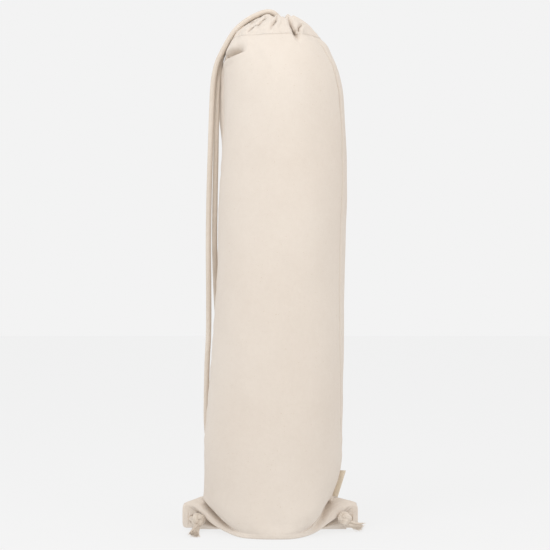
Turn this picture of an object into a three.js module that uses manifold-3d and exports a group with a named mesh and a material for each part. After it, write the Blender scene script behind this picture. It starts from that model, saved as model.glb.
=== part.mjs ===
// Drawstring bag for a rolled yoga mat: a flat two-panel canvas bag, filled out into a round standing tube.
// Millimetres, +Z up, the front of the bag faces -Y, and the floor is Z = 0.
import * as THREE from 'three';
import { mergeVertices } from 'three/addons/utils/BufferGeometryUtils.js';
import Module from 'manifold-3d';

const wasm = await Module();
wasm.setup();

// Driving dimensions of the bag
const bagHeight = 650; // floor to the ruffled rim of the mouth
const bodyWidth = 180; // filled tube, side to side
const bodyDepth = 176; // filled tube, front to back
const clothWall = 1.6; // canvas panel
const hemWall = 2.6; // canvas folded over the drawstring
const seamGap = 0.3; // between two pieces sewn together
const hemGap = 0.8; // between the panels and the hem

// Driving dimensions of the bottom corners
const earHeight = 42; // where the flattened corner leaves the tube
const earReach = 12.5; // how far the cloth corner stands out
const strapWidth = 6; // folded strap that makes the corner loop
const strapThickness = 3;
const loopHeight = 36;

// Driving dimensions of the drawstring
const cordDiameter = 7;
const cordClearance = 1.2; // round the cord where it passes the corner loop
const cordSides = 8;
const knotRadius = 8.4;
const knotStandOff = 18; // knot centre in front of the bottom seam
const knotHeight = 15;
const tailRootRadius = 2.6;
const tailTipRadius = 1.0;

// Driving dimensions of the side tab
const tabLength = 33;
const tabReach = 8;
const tabThickness = 1.4;

// How the cloth is laid out
const turnsPerPanel = 20; // columns from side seam to side seam
const earSharpness = 6; // how fast the corner draws out to its tip
const flatShare = 0.35; // share of the width that stands flat on the floor
const ruffleCount = 9;
const ruffleHeight = 2.2;

const halfWidth = bodyWidth / 2;
const halfDepth = bodyDepth / 2;
const cordRadius = cordDiameter / 2;
const tubeBase = earHeight * 1.3; // above this the bag is a plain tube

// Bottom seam to the top of the corners. front and edge heights are shares of earHeight, reach of earReach,
// left and right of half the width, depth of half the depth. pinch draws the plan in towards the seams,
// lift shapes the climb to the corner, and flat says how far front and back lie on each other.
const cornerSections = [
  { front: 0.0, edge: 0.0, left: 0.995, right: 0.86, reach: 0.75, depth: 0.0, pinch: 2.0, lift: 3.0, flat: 1.0 },
  { front: 0.0, edge: 0.24, left: 0.995, right: 0.86, reach: 0.85, depth: 0.36, pinch: 2.6, lift: 3.0, flat: 1.0 },
  { front: 0.0, edge: 0.52, left: 0.995, right: 0.86, reach: 0.95, depth: 0.72, pinch: 2.6, lift: 3.0, flat: 1.0 },
  { front: 0.01, edge: 0.76, left: 0.995, right: 0.86, reach: 1.0, depth: 0.92, pinch: 2.3, lift: 3.4, flat: 1.0 },
  { front: 0.06, edge: 0.87, left: 0.995, right: 0.86, reach: 0.95, depth: 0.975, pinch: 1.8, lift: 3.0, flat: 0.9 },
  { front: 0.16, edge: 0.93, left: 0.995, right: 0.85, reach: 0.65, depth: 0.985, pinch: 2.0, lift: 1.9, flat: 0.8 },
  { front: 0.36, edge: 0.98, left: 0.995, right: 0.83, reach: 0.3, depth: 0.99, pinch: 1.75, lift: 1.7, flat: 0.5 },
  { front: 0.7, edge: 1.04, left: 0.995, right: 0.82, reach: 0.05, depth: 1.0, pinch: 1.3, lift: 1.6, flat: 0.1 },
];

// The tube, its shoulders and the line where the hem starts. height is the share of the way
// from tubeBase to bagHeight, and the other columns are shares as above.
const tubeSections = [
  { height: 0.01, left: 0.994, right: 0.89, depth: 1.0 },
  { height: 0.051, left: 0.994, right: 0.933, depth: 1.0 },
  { height: 0.1, left: 0.99, right: 0.944, depth: 1.0 },
  { height: 0.163, left: 0.952, right: 0.96, depth: 1.0 },
  { height: 0.244, left: 0.911, right: 0.967, depth: 1.0 },
  { height: 0.328, left: 0.873, right: 0.972, depth: 1.0 },
  { height: 0.419, left: 0.833, right: 0.97, depth: 0.99 },
  { height: 0.513, left: 0.8, right: 0.985, depth: 0.98 },
  { height: 0.61, left: 0.783, right: 1.005, depth: 0.97 },
  { height: 0.697, left: 0.744, right: 1.003, depth: 0.95 },
  { height: 0.781, left: 0.711, right: 0.981, depth: 0.93 },
  { height: 0.849, left: 0.72, right: 0.95, depth: 0.9 },
  { height: 0.891, left: 0.725, right: 0.883, depth: 0.84 },
  { height: 0.918, left: 0.695, right: 0.804, depth: 0.77 },
  { height: 0.94, left: 0.628, right: 0.733, depth: 0.69 },
  { height: 0.956, left: 0.555, right: 0.628, depth: 0.6 },
  { height: 0.968, left: 0.488, right: 0.556, depth: 0.53 },
];

// The gathered hem, over the top and down into the mouth, in the same columns.
const hemSections = [
  { height: 0.978, left: 0.4, right: 0.49, depth: 0.44 },
  { height: 0.987, left: 0.3, right: 0.39, depth: 0.35 },
  { height: 0.994, left: 0.2, right: 0.3, depth: 0.26 },
  { height: 0.998, left: 0.125, right: 0.27, depth: 0.2 },
  { height: 0.995, left: 0.085, right: 0.235, depth: 0.165 },
  { height: 0.987, left: 0.07, right: 0.22, depth: 0.15 },
];

// Gathers that run up into the mouth: where round the bag (0 is the left seam, 90 the front, 180 the right seam),
// how deep at the hem as a share of the radius, how wide in degrees, and the height share where each starts.
const gathers = [
  { turn: 27, depth: 0.1, spread: 9, start: 0.9 },
  { turn: 63, depth: 0.09, spread: 9, start: 0.93 },
  { turn: 90, depth: 0.06, spread: 8, start: 0.94 },
  { turn: 117, depth: 0.2, spread: 9, start: 0.91 },
  { turn: 153, depth: 0.1, spread: 10, start: 0.9 },
  { turn: 207, depth: 0.12, spread: 9, start: 0.9 },
  { turn: 234, depth: 0.1, spread: 9, start: 0.92 },
  { turn: 261, depth: 0.14, spread: 9, start: 0.89 },
  { turn: 297, depth: 0.12, spread: 10, start: 0.9 },
  { turn: 333, depth: 0.13, spread: 9, start: 0.91 },
];

// Dents in the filled cloth, in the same turns and height shares, depth as a share of the radius.
const dents = [
  { turn: 38, height: 0.915, depth: 0.12, spread: 14, tall: 0.02 },
  { turn: 146, height: 0.87, depth: 0.02, spread: 16, tall: 0.03 },
  { turn: 60, height: 0.12, depth: 0.015, spread: 20, tall: 0.05 },
  { turn: 288, height: 0.5, depth: 0.025, spread: 18, tall: 0.12 },
  { turn: 246, height: 0.25, depth: 0.02, spread: 16, tall: 0.08 },
];

// The two strands of the drawstring, out of the mouth, down the left side and round to the corner loops.
const leftStrandRoute = [
  [4.6, -5.5, 628], [4.2, -5.7, 638], [1.2, -6.2, 648.5], [-5, -6.8, 654.6], [-13, -7, 655.6], [-22, -7.2, 652.6],
  [-33, -7.5, 647], [-42, -7.6, 640.5], [-50.5, -7, 632.5], [-58.5, -6, 621], [-66, -4.5, 607.5], [-73, -2.5, 594],
  [-77.5, -1, 578], [-80, 0, 562], [-81, 1, 540], [-82, 1.5, 512], [-82.6, 2, 476], [-84, 3, 418], [-84.8, 6, 361],
  [-84.6, 10, 304], [-85, 14, 247], [-87, 18, 209], [-88, 24, 171], [-88.4, 31, 136], [-87, 39.5, 110],
  [-85.5, 46, 80], [-85.5, 50, 48], [-90, 49, 22], [-98, 41, 7.5], [-105.5, 28, 5], [-108.5, 14, 8.5],
  [-107.4, 0, 13.5], [-102.8, -11, 14.9],
];
const rightStrandRoute = [
  [4.6, 3, 628], [4.2, 2.6, 638], [1.2, 2, 648.3], [-5, 1.4, 654.2], [-13, 1, 655.2], [-22, 0.8, 652.2],
  [-33, 0.6, 646.6], [-42, 0.5, 640], [-50.2, 0.8, 632], [-58, 1.6, 620.5], [-64.6, 2.8, 607.5],
  [-70, 4.5, 594], [-72.6, 6, 578], [-74, 7, 560], [-74.8, 8, 536], [-75.4, 8.5, 508], [-75.6, 9, 470],
  [-76.6, 10, 418], [-77.2, 15, 361], [-76, 28, 304], [-74, 41, 262], [-71.5, 51, 222], [-70.5, 59, 176],
  [-70.5, 64, 126], [-70.5, 66, 80], [-69.5, 69, 45], [-66, 75, 19], [-57, 84.5, 6], [-44, 93, 3.8],
  [-14, 101.5, 3.7], [20, 102.5, 3.7], [52, 93.5, 3.7], [77, 75, 3.7], [94.5, 50, 3.8], [101, 28, 5.5],
  [98.8, 12, 11], [95.2, 0.5, 15.2], [90.9, -10.1, 16.3],
];
const leftStrandSteps = 38;
const rightStrandSteps = 46;

const radians = THREE.MathUtils.degToRad;
const blendIn = THREE.MathUtils.smoothstep;

function cornerRow(section) {
  return {
    share: 0,
    low: earHeight * section.front,
    edge: earHeight * section.edge,
    left: halfWidth * section.left,
    right: halfWidth * section.right,
    reach: earReach * section.reach,
    depth: halfDepth * section.depth,
    pinch: section.pinch,
    lift: section.lift,
    flat: section.flat,
  };
}

function tubeRow(section) {
  const height = tubeBase + (bagHeight - tubeBase) * section.height;
  return {
    share: section.height,
    low: height,
    edge: height,
    left: halfWidth * section.left,
    right: halfWidth * section.right,
    reach: 0,
    depth: halfDepth * section.depth,
    pinch: 1,
    lift: 1,
    flat: 0,
  };
}

// Degrees between two turns, the short way round
function turnBetween(turn, other) {
  const apart = Math.abs(turn - other) % 360;
  return Math.min(apart, 360 - apart);
}

// How far gathers and dents draw the cloth in, as a share of the radius
function drawnIn(turn, share) {
  const hemShare = tubeSections[tubeSections.length - 1].height;
  let amount = 0;
  for (const gather of gathers) {
    const across = Math.exp(-((turnBetween(turn, gather.turn) / gather.spread) ** 2));
    amount += gather.depth * blendIn(share, gather.start, hemShare) * across;
  }
  for (const dent of dents) {
    const across = Math.exp(-((turnBetween(turn, dent.turn) / dent.spread) ** 2));
    amount += dent.depth * Math.exp(-(((share - dent.height) / dent.tall) ** 2)) * across;
  }
  return amount;
}

// A point of the cloth's outer face. side is -1 on the front panel and 1 on the back one.
function skinPoint(row, turn, side) {
  const across = Math.cos(radians(turn));
  const nearSeam = Math.abs(across);
  const outOfSeam = Math.abs(Math.sin(radians(turn)));
  const centre = (row.right - row.left) / 2;
  const halfSpan = (row.right + row.left) / 2;
  const slack = 1 - drawnIn(turn, row.share);
  const lift = (Math.max(0, nearSeam - flatShare) / (1 - flatShare)) ** row.lift;
  const rim = blendIn(row.share, hemSections[1].height, hemSections[3].height);
  const corner = Math.sign(across) * row.reach * nearSeam ** earSharpness;
  const apart = seamGap / 2 + clothWall * row.flat * nearSeam ** 2;
  return new THREE.Vector3(
    centre - (across * halfSpan + corner) * slack,
    side * (row.depth * outOfSeam ** row.pinch * slack + apart),
    row.low + (row.edge - row.low) * lift + ruffleHeight * rim * Math.sin(radians(turn * ruffleCount)),
  );
}

// The row of the hem that faces the panels' top edge
function hemStartRow(last, next) {
  const climb = Math.hypot(next.low - last.low, last.depth - next.depth);
  const start = { ...last };
  for (const key of ['share', 'low', 'edge', 'left', 'right', 'depth']) {
    start[key] = THREE.MathUtils.lerp(last[key], next[key], hemGap / climb);
  }
  return start;
}

const panelRows = [...cornerSections.map(cornerRow), ...tubeSections.map(tubeRow)];
const hemTopRows = hemSections.map(tubeRow);
const hemRows = [hemStartRow(panelRows[panelRows.length - 1], hemTopRows[0]), ...hemTopRows];
const allRows = [...panelRows, ...hemRows];

// Grid of outer points over one half of the bag
function halfGrid(side) {
  const firstTurn = side < 0 ? 0 : 180;
  return allRows.map((row) => {
    const points = [];
    for (let column = 0; column <= turnsPerPanel; column += 1) {
      points.push(skinPoint(row, firstTurn + (180 * column) / turnsPerPanel, side));
    }
    return points;
  });
}

// The same grid moved in by the wall
function innerGrid(outer, side, wall) {
  return outer.map((points, level) => {
    const below = outer[Math.max(0, level - 1)];
    const above = outer[Math.min(outer.length - 1, level + 1)];
    return points.map((point, column) => {
      const before = points[Math.max(0, column - 1)];
      const after = points[Math.min(turnsPerPanel, column + 1)];
      const round = after.clone().sub(before);
      const up = above[column].clone().sub(below[column]);
      const normal = round.cross(up).normalize();
      if (column === 0 || column === turnsPerPanel) {
        normal.y *= allRows[level].flat;
        normal.normalize();
      }
      const inner = point.clone().addScaledVector(normal, -wall);
      inner.y = side * Math.max(seamGap / 2, side * inner.y);
      return inner;
    });
  });
}

// Closed shell between an outer and an inner grid; a closed one runs all the way round
function shellGeometry(outer, inner, closed) {
  const levels = outer.length;
  const columns = outer[0].length;
  const corners = [...outer.flat(), ...inner.flat()];
  const index = [];
  const outside = (level, column) => level * columns + (column % columns);
  const inside = (level, column) => levels * columns + outside(level, column);
  const face = (a, b, c, d) => index.push(a, b, c, a, c, d);
  const cells = closed ? columns : columns - 1;
  for (let level = 0; level < levels - 1; level += 1) {
    for (let column = 0; column < cells; column += 1) {
      const next = column + 1;
      face(outside(level, column), outside(level, next), outside(level + 1, next), outside(level + 1, column));
      face(inside(level, column), inside(level + 1, column), inside(level + 1, next), inside(level, next));
    }
    if (!closed) {
      face(outside(level, 0), outside(level + 1, 0), inside(level + 1, 0), inside(level, 0));
      face(outside(level, cells), inside(level, cells), inside(level + 1, cells), outside(level + 1, cells));
    }
  }
  const top = levels - 1;
  for (let column = 0; column < cells; column += 1) {
    face(outside(0, column), inside(0, column), inside(0, column + 1), outside(0, column + 1));
    face(outside(top, column), outside(top, column + 1), inside(top, column + 1), inside(top, column));
  }
  const geometry = new THREE.BufferGeometry();
  geometry.setFromPoints(corners);
  geometry.setIndex(index);
  return geometry;
}

const frontGrid = halfGrid(-1);
const backGrid = halfGrid(1);

function panelGeometry(outer, side) {
  const inner = innerGrid(outer, side, clothWall);
  const count = panelRows.length;
  return shellGeometry(outer.slice(0, count), inner.slice(0, count), false);
}

// Front and back rows joined into one ring, with one point at each seam
function ringRows(front, back) {
  return front.map((points, level) => {
    const ring = [...points.slice(0, -1), ...back[level].slice(0, -1)].map((point) => point.clone());
    ring[0].y = 0;
    ring[turnsPerPanel].y = 0;
    return ring;
  });
}

function hemGeometry() {
  const first = panelRows.length;
  const outer = ringRows(frontGrid, backGrid).slice(first);
  const inner = ringRows(innerGrid(frontGrid, -1, hemWall), innerGrid(backGrid, 1, hemWall)).slice(first);
  return shellGeometry(outer, inner, true);
}

// Folded tab sewn into the right seam just above the corner, with its root along the seam's own points
function tabGeometry() {
  const bottom = earHeight * 1.05;
  const top = bottom + tabLength;
  const seam = frontGrid.slice(cornerSections.length - 1).map((points) => points[turnsPerPanel]);
  const seamX = (height) => {
    const above = seam.findIndex((point) => point.z > height);
    const low = seam[above - 1];
    return THREE.MathUtils.mapLinear(height, low.z, seam[above].z, low.x, seam[above].x);
  };
  const between = seam.map((point) => point.z).filter((height) => height > bottom && height < top);
  const heights = [bottom, ...between, top];
  const root = heights.map((height) => new THREE.Vector2(seamX(height) + seamGap, height));
  const outer = heights.map((height) => new THREE.Vector2(seamX(height) + seamGap + tabReach, height - 1));
  const shape = new THREE.Shape([...root, ...outer.reverse()]);
  const geometry = new THREE.ExtrudeGeometry(shape, { depth: tabThickness, bevelEnabled: false });
  geometry.translate(0, 0, -tabThickness / 2);
  geometry.rotateX(Math.PI / 2);
  return geometry;
}

const earTip = {
  left: halfWidth * cornerSections[3].left + earReach,
  right: halfWidth * cornerSections[3].right + earReach,
};
const loopOpening = cordDiameter + 2 * cordClearance;
const loopReach = loopOpening + strapWidth;

// Strap folded into a flat loop, sewn to the corner top and bottom, with the cord's way through it
function loopGeometry(side) {
  const at = (out, height) => [side * out, height];
  const low = seamGap;
  const strap = strapWidth;
  const round = strapWidth * 0.9;
  const shape = new THREE.Shape();
  shape.moveTo(...at(0, loopHeight));
  shape.lineTo(...at(loopReach * 0.45, loopHeight - 1));
  shape.quadraticCurveTo(...at(loopReach, loopHeight - 2), ...at(loopReach, loopHeight - 9));
  shape.lineTo(...at(loopReach, low + round));
  shape.quadraticCurveTo(...at(loopReach, low), ...at(loopReach - round, low));
  shape.lineTo(...at(0, low));
  shape.lineTo(...at(0, low + strap));
  shape.lineTo(...at(loopOpening - 3, low + strap));
  shape.quadraticCurveTo(...at(loopOpening, low + strap), ...at(loopOpening, low + strap + 3));
  shape.lineTo(...at(loopOpening, loopHeight - strap * 2 - 4));
  shape.quadraticCurveTo(...at(loopOpening, loopHeight - strap * 2), ...at(loopOpening - 4, loopHeight - strap * 2));
  shape.lineTo(...at(0, loopHeight - strap * 2));
  const settings = { depth: strapThickness, bevelEnabled: false, curveSegments: 4 };
  const geometry = new THREE.ExtrudeGeometry(shape, settings);
  geometry.translate(0, 0, -strapThickness / 2);
  geometry.rotateX(Math.PI / 2);
  return geometry;
}

function strandGeometry(route, steps) {
  const section = new THREE.Shape();
  for (let corner = 0; corner < cordSides; corner += 1) {
    const angle = (2 * Math.PI * corner) / cordSides;
    const x = cordRadius * Math.cos(angle);
    const y = cordRadius * Math.sin(angle);
    if (corner === 0) {
      section.moveTo(x, y);
    } else {
      section.lineTo(x, y);
    }
  }
  const path = new THREE.CatmullRomCurve3(route.map((point) => new THREE.Vector3(...point)));
  return new THREE.ExtrudeGeometry(section, { steps, bevelEnabled: false, extrudePath: path });
}

function toSolid(geometry) {
  const plain = geometry.clone();
  plain.deleteAttribute('normal');
  plain.deleteAttribute('uv');
  const merged = mergeVertices(plain, 1e-4);
  const mesh = new wasm.Mesh({
    numProp: 3,
    vertProperties: new Float32Array(merged.attributes.position.array),
    triVerts: new Uint32Array(merged.index.array),
  });
  mesh.merge();
  return new wasm.Manifold(mesh);
}

function toGeometry(solid) {
  const mesh = solid.getMesh();
  const geometry = new THREE.BufferGeometry();
  geometry.setAttribute('position', new THREE.BufferAttribute(mesh.vertProperties, 3));
  geometry.setIndex(new THREE.BufferAttribute(mesh.triVerts, 1));
  return geometry;
}

// One lock of the frayed end, a tapered length between two points
function lockGeometry(from, to, fromRadius, toRadius) {
  const along = to.clone().sub(from);
  const geometry = new THREE.CylinderGeometry(toRadius, fromRadius, along.length(), 5, 1);
  const turn = new THREE.Quaternion().setFromUnitVectors(new THREE.Vector3(0, 1, 0), along.clone().normalize());
  geometry.applyQuaternion(turn);
  geometry.translate(...from.clone().addScaledVector(along, 0.5).toArray());
  return geometry;
}

// Round overhand knot with the cord's frayed end fused to it, round its own centre.
// The tail leaves towards its tip, where the locks fan out.
function knotGeometry(tip, fan) {
  const wrapRadius = knotRadius - cordRadius;
  let solid = toSolid(new THREE.SphereGeometry(knotRadius * 0.9, 8, 6));
  for (const tilt of [25, 80, 140]) {
    const wrap = new THREE.TorusGeometry(wrapRadius, cordRadius * 0.98, 6, 10);
    wrap.rotateX(radians(tilt));
    wrap.rotateZ(radians(tilt * 0.5));
    solid = solid.add(toSolid(wrap));
  }
  const root = tip.clone().multiplyScalar(0.1);
  const middle = tip.clone().multiplyScalar(0.45);
  for (const place of [-1, -0.35, 0.3, 1]) {
    const bend = middle.clone().addScaledVector(fan, place * 0.4);
    const end = tip.clone().addScaledVector(fan, place).multiplyScalar(1 - 0.07 * Math.abs(place));
    solid = solid.add(toSolid(lockGeometry(root, bend, tailRootRadius, tailRootRadius * 0.9)));
    solid = solid.add(toSolid(lockGeometry(bend, end, tailRootRadius * 0.9, tailTipRadius)));
  }
  // Small pockets between the wraps fill up when the knot is pulled tight, so only the outer body is kept
  const bodies = solid.simplify(0.03).decompose();
  const outerBody = bodies.reduce((largest, body) => (body.volume() > largest.volume() ? body : largest));
  return toGeometry(outerBody);
}

const canvas = { color: 0xe6dccf, roughness: 0.95, metalness: 0 };
const cotton = { color: 0xe9dfd0, roughness: 0.9, metalness: 0 };
const tape = { color: 0xe3d3bb, roughness: 0.85, metalness: 0 };

const bag = new THREE.Group();

function addPiece(name, geometry, look) {
  const mesh = new THREE.Mesh(geometry, new THREE.MeshStandardMaterial(look));
  mesh.name = name;
  bag.add(mesh);
  return mesh;
}

addPiece('front_panel', panelGeometry(frontGrid, -1), canvas);
addPiece('back_panel', panelGeometry(backGrid, 1), canvas);
addPiece('drawstring_casing', hemGeometry(), canvas);

const leftLoop = addPiece('corner_loop_left', loopGeometry(-1), canvas);
leftLoop.position.x = -(earTip.left + seamGap);
const rightLoop = addPiece('corner_loop_right', loopGeometry(1), canvas);
rightLoop.position.x = earTip.right + seamGap;

addPiece('side_tab', tabGeometry(), tape);

const leftKnot = addPiece(
  'knot_left',
  knotGeometry(new THREE.Vector3(-9, -52, -12.5), new THREE.Vector3(7, 1, 0)),
  cotton,
);
leftKnot.position.set(leftLoop.position.x - loopOpening / 2 + 9.5, -knotStandOff, knotHeight);
const rightKnot = addPiece(
  'knot_right',
  knotGeometry(new THREE.Vector3(25, 2, -10), new THREE.Vector3(-2, -7, 0)),
  cotton,
);
rightKnot.position.set(rightLoop.position.x + loopOpening / 2 - 7.5, -knotStandOff, knotHeight + 1.5);

addPiece('strand_left', strandGeometry(leftStrandRoute, leftStrandSteps), cotton);
addPiece('strand_right', strandGeometry(rightStrandRoute, rightStrandSteps), cotton);

// The origin is on the floor, midway between the two corner loops
bag.position.x = (earTip.left - earTip.right) / 2;

export default bag;
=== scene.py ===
# Canvas drawstring bag for a rolled yoga mat, filled out round and standing
import math
import random

import bpy
import numpy as np
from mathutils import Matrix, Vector


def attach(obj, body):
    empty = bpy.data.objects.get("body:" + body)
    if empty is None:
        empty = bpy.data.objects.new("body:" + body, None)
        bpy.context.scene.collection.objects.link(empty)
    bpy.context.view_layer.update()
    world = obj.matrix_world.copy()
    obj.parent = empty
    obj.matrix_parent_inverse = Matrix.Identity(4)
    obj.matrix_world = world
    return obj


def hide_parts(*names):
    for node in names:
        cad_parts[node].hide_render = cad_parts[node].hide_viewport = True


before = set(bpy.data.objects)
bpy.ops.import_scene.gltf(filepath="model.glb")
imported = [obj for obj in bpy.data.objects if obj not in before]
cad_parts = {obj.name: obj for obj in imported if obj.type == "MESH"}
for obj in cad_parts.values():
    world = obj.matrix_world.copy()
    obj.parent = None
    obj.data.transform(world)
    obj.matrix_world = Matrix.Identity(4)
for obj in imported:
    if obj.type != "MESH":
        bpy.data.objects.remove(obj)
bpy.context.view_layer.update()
print("frame loaded")

mm = 0.001
originShift = 6.075  # mm, routes and sections are drawn from the photograph's middle column
view = {
    "pixelSize": 1.27 * mm,  # one pixel of the photograph at the bag's axis
    "distance": 2.2,
    "imageSize": 550,
    "floorRow": 529.5,  # where the corners meet the floor
    "sensor": 36.0,
}


# camera, level and straight on, at about half the bag's height
def addCamera():
    camData = bpy.data.cameras.new("photoCamera")
    cam = bpy.data.objects.new("photoCamera", camData)
    bpy.context.scene.collection.objects.link(cam)
    height = (view["floorRow"] - view["imageSize"] / 2) * view["pixelSize"]
    cam.location = (originShift * mm, -view["distance"], height)
    cam.rotation_euler = (math.radians(90), 0, 0)
    camData.sensor_width = view["sensor"]
    camData.lens = view["sensor"] * view["distance"] / (view["imageSize"] * view["pixelSize"])
    camData.clip_end = 50
    bpy.context.scene.camera = cam


addCamera()


# shared mesh helpers
def newMesh(name, verts, faces, uvs=None):
    # verts in mm in the drawing's frame
    placed = (np.asarray(verts, dtype=float) + np.array([originShift, 0, 0])) * mm
    mesh = bpy.data.meshes.new(name)
    mesh.from_pydata(placed.tolist(), [], faces)
    if uvs is not None:
        layer = mesh.uv_layers.new(name="cloth")
        loopVerts = np.empty(len(mesh.loops), dtype=np.int32)
        mesh.loops.foreach_get("vertex_index", loopVerts)
        layer.data.foreach_set("uv", np.asarray(uvs, dtype=np.float32)[loopVerts].ravel())
    mesh.polygons.foreach_set("use_smooth", [True] * len(mesh.polygons))
    mesh.update()
    piece = bpy.data.objects.new(name, mesh)
    bpy.context.scene.collection.objects.link(piece)
    return piece


def gridFaces(rows, cols, start=0, turned=False, wrap=False):
    faces = []
    last = cols if wrap else cols - 1
    for i in range(rows - 1):
        for j in range(last):
            k = (j + 1) % cols
            low, high = start + i * cols, start + (i + 1) * cols
            quad = (low + j, low + k, high + k, high + j)
            faces.append(quad[::-1] if turned else quad)
    return faces


def smoothStep(x, low, high):
    t = np.clip((x - low) / (high - low), 0, 1)
    return t * t * (3 - 2 * t)


def throughPoints(points, places):
    # a smooth curve through rows of points; places count in rows
    gaps = np.linalg.norm(np.diff(points, axis=0), axis=-1)
    while gaps.ndim > 1:
        gaps = gaps.mean(axis=-1)
    gaps = np.maximum(gaps, 1e-6) ** 0.75
    spread = gaps.reshape((-1,) + (1,) * (points.ndim - 1))
    slopes = np.diff(points, axis=0) / spread
    tangents = np.empty_like(points)
    tangents[1:-1] = (slopes[:-1] * spread[1:] + slopes[1:] * spread[:-1]) / (spread[1:] + spread[:-1])
    tangents[0] = slopes[0]
    tangents[-1] = slopes[-1]
    low = np.clip(np.floor(places).astype(int), 0, len(points) - 2)
    shape = (-1,) + (1,) * (points.ndim - 1)
    t = (places - low).reshape(shape)
    width = gaps[low].reshape(shape)
    return ((2 * t ** 3 - 3 * t ** 2 + 1) * points[low] + (t ** 3 - 2 * t ** 2 + t) * width * tangents[low]
            + (-2 * t ** 3 + 3 * t ** 2) * points[low + 1] + (t ** 3 - t ** 2) * width * tangents[low + 1])


def catmullPath(points, step):
    # centripetal curve through a route's points, resampled evenly
    pts = [np.array(p, dtype=float) for p in points]
    pts = [2 * pts[0] - pts[1]] + pts + [2 * pts[-1] - pts[-2]]
    fine = []
    for i in range(1, len(pts) - 2):
        p0, p1, p2, p3 = pts[i - 1:i + 3]
        t1 = np.linalg.norm(p1 - p0) ** 0.5
        t2 = t1 + np.linalg.norm(p2 - p1) ** 0.5
        t3 = t2 + np.linalg.norm(p3 - p2) ** 0.5
        for t in np.linspace(t1, t2, 24, endpoint=False):
            a1 = p0 * (t1 - t) / t1 + p1 * t / t1
            a2 = p1 * (t2 - t) / (t2 - t1) + p2 * (t - t1) / (t2 - t1)
            a3 = p2 * (t3 - t) / (t3 - t2) + p3 * (t - t2) / (t3 - t2)
            b1 = a1 * (t2 - t) / t2 + a2 * t / t2
            b2 = a2 * (t3 - t) / (t3 - t1) + a3 * (t - t1) / (t3 - t1)
            fine.append(b1 * (t2 - t) / (t2 - t1) + b2 * (t - t1) / (t2 - t1))
    fine.append(pts[-2])
    fine = np.array(fine)
    along = np.concatenate([[0], np.cumsum(np.linalg.norm(np.diff(fine, axis=0), axis=1))])
    places = np.linspace(0, along[-1], max(2, int(round(along[-1] / step)) + 1))
    return np.stack([np.interp(places, along, fine[:, k]) for k in range(3)], axis=1), along[-1]


def carriedFrames(path):
    # side and up directions along a path, turned as little as possible
    tangents = np.gradient(path, axis=0)
    tangents /= np.maximum(np.linalg.norm(tangents, axis=1), 1e-9)[:, None]
    side = np.cross(tangents[0], (0.05, 1.0, 0.2))
    side /= np.linalg.norm(side)
    sides, ups = [], []
    for tangent in tangents:
        side = side - tangent * np.dot(side, tangent)
        side /= np.linalg.norm(side)
        sides.append(side)
        ups.append(np.cross(tangent, side))
    return np.array(sides), np.array(ups)


# cords
cord = {
    "diameter": 7.0,  # mm
    "plaitPitch": 12.0,  # mm along the cord for one turn of a plait
    "plaits": 6,  # in each direction
    "relief": 0.5,  # mm
    "sides": 36,
    "ringStep": 0.8,  # mm
    "girth": 22.0,  # mm round, for the threads' scale
}
leftStrandRoute = [
    (4.6, -5.5, 628), (4.6, -5.7, 640), (3.2, -6.1, 648.8), (-0.4, -6.5, 653.7), (-6.2, -6.8, 656.2),
    (-13, -7, 655.8), (-22, -7.2, 652.6), (-33, -7.5, 647), (-42, -7.6, 640.5), (-50.5, -7, 632.5),
    (-58.5, -6, 621), (-66, -4.5, 607.5), (-72.6, -2.5, 594), (-76.8, -1, 578), (-78.9, 0, 562),
    (-80.1, 1, 540), (-81.2, 1.5, 512), (-82.3, 2, 476), (-84, 3, 418), (-84.8, 6, 361),
    (-84.6, 10, 304), (-85, 14, 247), (-87, 18, 209), (-88, 24, 171), (-88.4, 31, 136),
    (-87, 39.5, 110), (-85.5, 46, 80), (-85.5, 50, 48), (-90, 49, 22), (-98, 41, 7.5), (-105.5, 28, 5),
    (-108.5, 14, 8.5), (-107.4, 0, 13.5), (-102.8, -11, 14.9),
]
rightStrandRoute = [
    (4.6, 3, 628), (4.6, 2.6, 640), (3.1, 2.2, 648.5), (-0.5, 1.8, 653.3), (-6.2, 1.4, 655.7),
    (-13, 1, 655.3), (-22, 0.8, 652.2), (-33, 0.6, 646.6), (-42, 0.5, 640), (-50.2, 0.8, 632),
    (-58, 1.6, 620.5), (-64.6, 2.8, 607.5), (-69.6, 4.5, 594), (-71.9, 6, 578), (-73.1, 7, 560),
    (-74, 8, 536), (-74.9, 8.5, 508), (-75.5, 9, 470), (-76.6, 10, 418), (-77.2, 15, 361),
    (-76, 28, 304), (-74, 41, 262), (-71.5, 51, 222), (-70.5, 59, 176), (-70.5, 64, 126),
    (-70.5, 66, 80), (-69.5, 69, 45), (-66, 75, 19), (-57, 84.5, 6), (-44, 93, 3.8), (-14, 101.5, 3.7),
    (20, 102.5, 3.7), (52, 93.5, 3.7), (77, 75, 3.7), (94.5, 50, 3.8), (101, 28, 5.5), (98.8, 12, 11),
    (95.2, 0.5, 15.2), (90.9, -10.1, 16.3),
]


def braidRadius(angle, along, radius, relief):
    # plaits that wind both ways and pass over each other in turn
    turning = along * 2 * math.pi / cord["plaitPitch"]
    k = cord["plaits"] / 2
    oneWay = np.cos(k * (angle - turning))
    otherWay = np.cos(k * (angle + turning))
    ridge = np.where(oneWay * otherWay > 0, np.abs(oneWay), np.abs(otherWay)) ** 0.7
    return radius - relief * (1 - ridge)


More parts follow.
